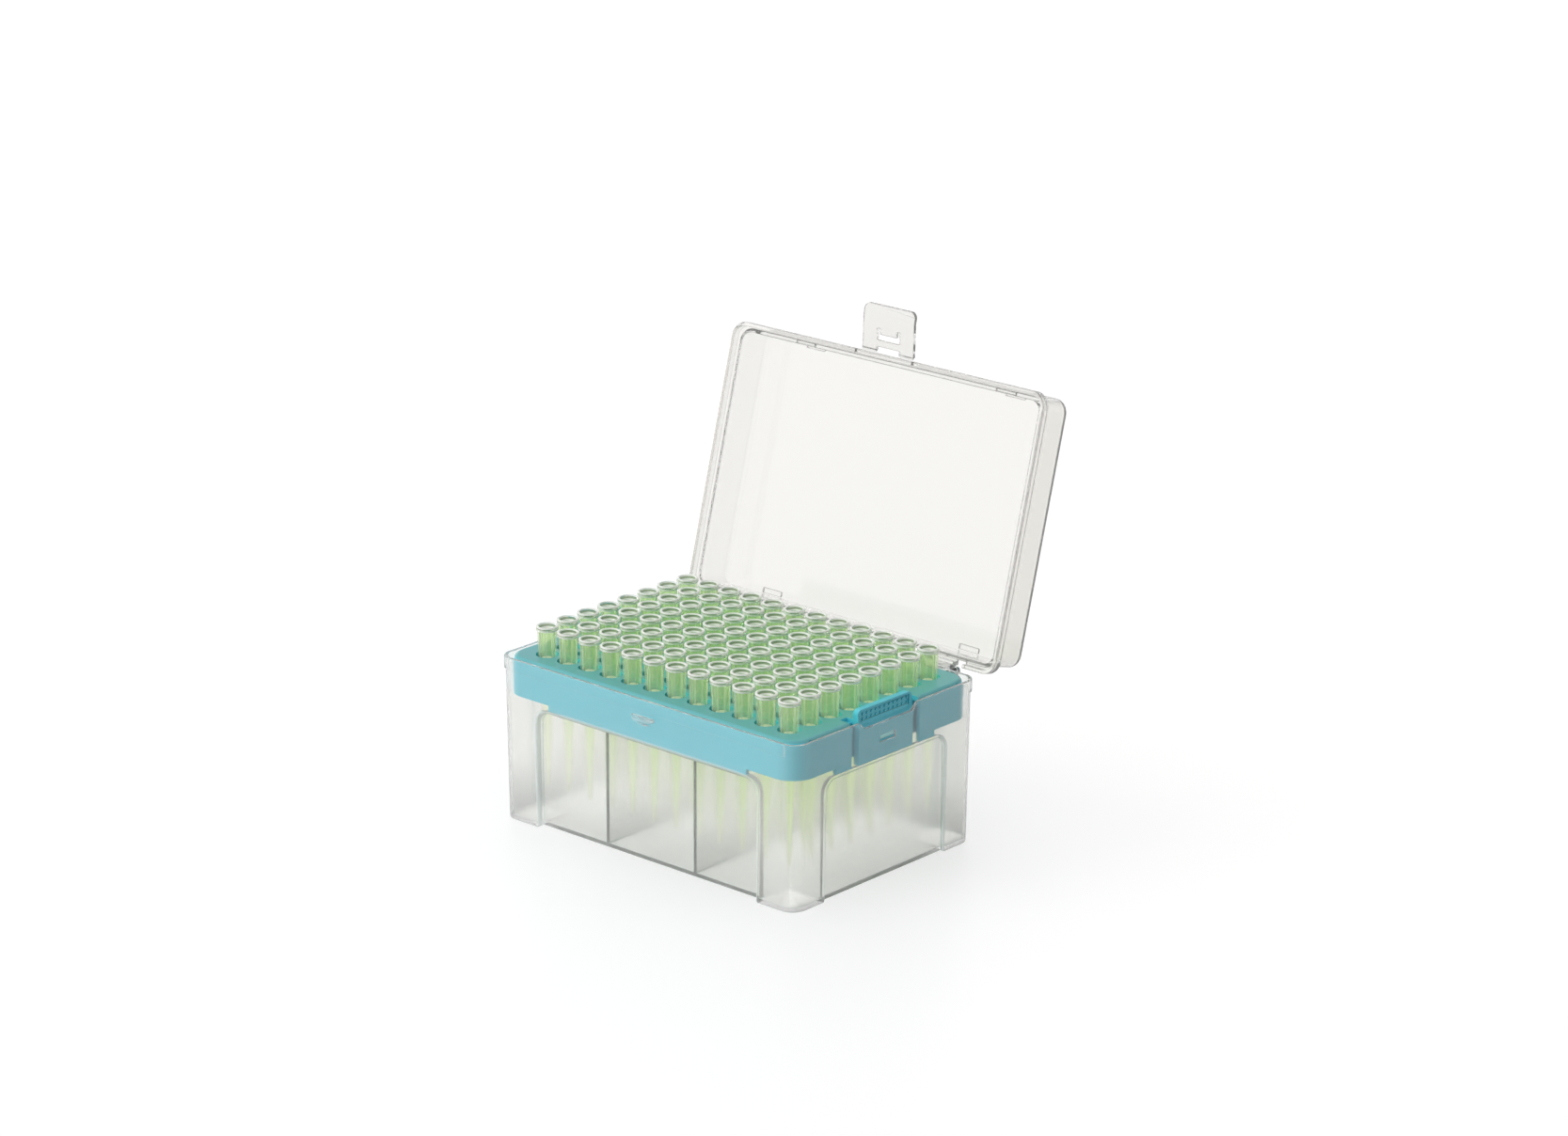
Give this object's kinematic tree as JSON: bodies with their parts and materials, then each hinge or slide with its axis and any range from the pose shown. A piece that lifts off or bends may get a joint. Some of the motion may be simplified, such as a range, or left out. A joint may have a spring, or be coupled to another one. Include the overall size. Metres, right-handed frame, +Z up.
{
  "type": "pipette tip box",
  "caption": "Hinged box of filter pipette tips: frosted base with corner pillars, blue tip rack with grip tabs, clear lid standing open with a folding latch flap.",
  "frame": {"origin": "middle of the underside, on the plane that the four feet stand on", "axes": "+X along the long sides, +Y towards the hinge side, -Y towards the catch, +Z up"},
  "size_m": [0.1264, 0.128, 0.1515],
  "materials": {
    "frosted_base": "frosted, milky translucent polypropylene",
    "blue_rack": "smooth opaque light blue moulding",
    "clear_lid": "clear, smooth polypropylene",
    "green_tip": "translucent green polypropylene, bright at the rims",
    "filter": "white porous polyethylene"
  },
  "bodies": {
    "base": {"base_box": "frosted_base", "tip_rack": "blue_rack", "tips_column_01": "green_tip", "tips_column_02": "green_tip", "tips_column_03": "green_tip", "tips_column_04": "green_tip", "tips_column_05": "green_tip", "tips_column_06": "green_tip", "tips_column_07": "green_tip", "tips_column_08": "green_tip", "tips_column_09": "green_tip", "tips_column_10": "green_tip", "tips_column_11": "green_tip", "tips_column_12": "green_tip", "filters_column_01": "filter", "filters_column_02": "filter", "filters_column_03": "filter", "filters_column_04": "filter", "filters_column_05": "filter", "filters_column_06": "filter", "filters_column_07": "filter", "filters_column_08": "filter", "filters_column_09": "filter", "filters_column_10": "filter", "filters_column_11": "filter", "filters_column_12": "filter"},
    "lid": {"lid": "clear_lid"},
    "latch": {"latch_flap": "clear_lid"}
  },
  "joints": [
    {"name": "lid_hinge", "type": "hinge", "parent": "base", "child": "lid", "pos_m": [0, 0.0452, 0.0507], "axis": [1, 0, 0], "range_deg": [0, 105]},
    {"name": "latch_hinge", "type": "hinge", "parent": "lid", "child": "latch", "pos_m": [0, 0.06927, 0.1366], "axis": [1, 0, 0], "range_deg": [0, 76.6]}
  ]
}
